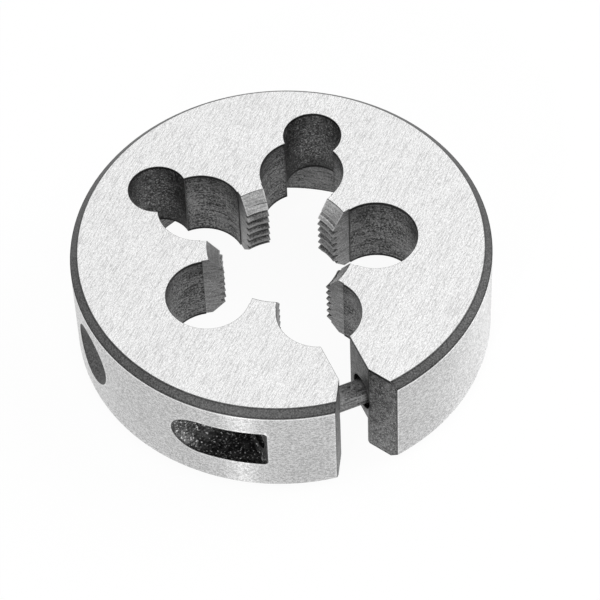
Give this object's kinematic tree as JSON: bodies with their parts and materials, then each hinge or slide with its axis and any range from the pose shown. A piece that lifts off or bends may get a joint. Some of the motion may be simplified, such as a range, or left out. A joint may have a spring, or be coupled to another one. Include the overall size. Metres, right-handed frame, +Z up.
{
  "type": "round threading die",
  "caption": "Adjustable round die that cuts a right-hand screw thread on a rod, split at the rim by a slot that a set screw crosses.",
  "frame": {"origin": "on the die axis, in the plane of the recessed underside's rim, which the die rests on", "axes": "+Z along the die axis towards the flat front face that meets the rod first, -Y towards the adjusting slot, +X to the right when the slot is seen from outside with +Z up"},
  "size_m": [0.055, 0.0547, 0.016],
  "materials": {
    "body_steel": "ground faces with fine lines, satin rim, darker machined holes, chamfers and slot",
    "screw_steel": "hardened dark steel, turned"
  },
  "bodies": {
    "die": {"die_body": "body_steel"},
    "screw": {"adjusting_screw": "screw_steel"}
  },
  "joints": [
    {"name": "screw_turn", "type": "hinge", "parent": "die", "child": "screw", "pos_m": [0, -0.021, 0.0085], "axis": [1, 0, 0], "range_deg": [-360, 90]}
  ]
}
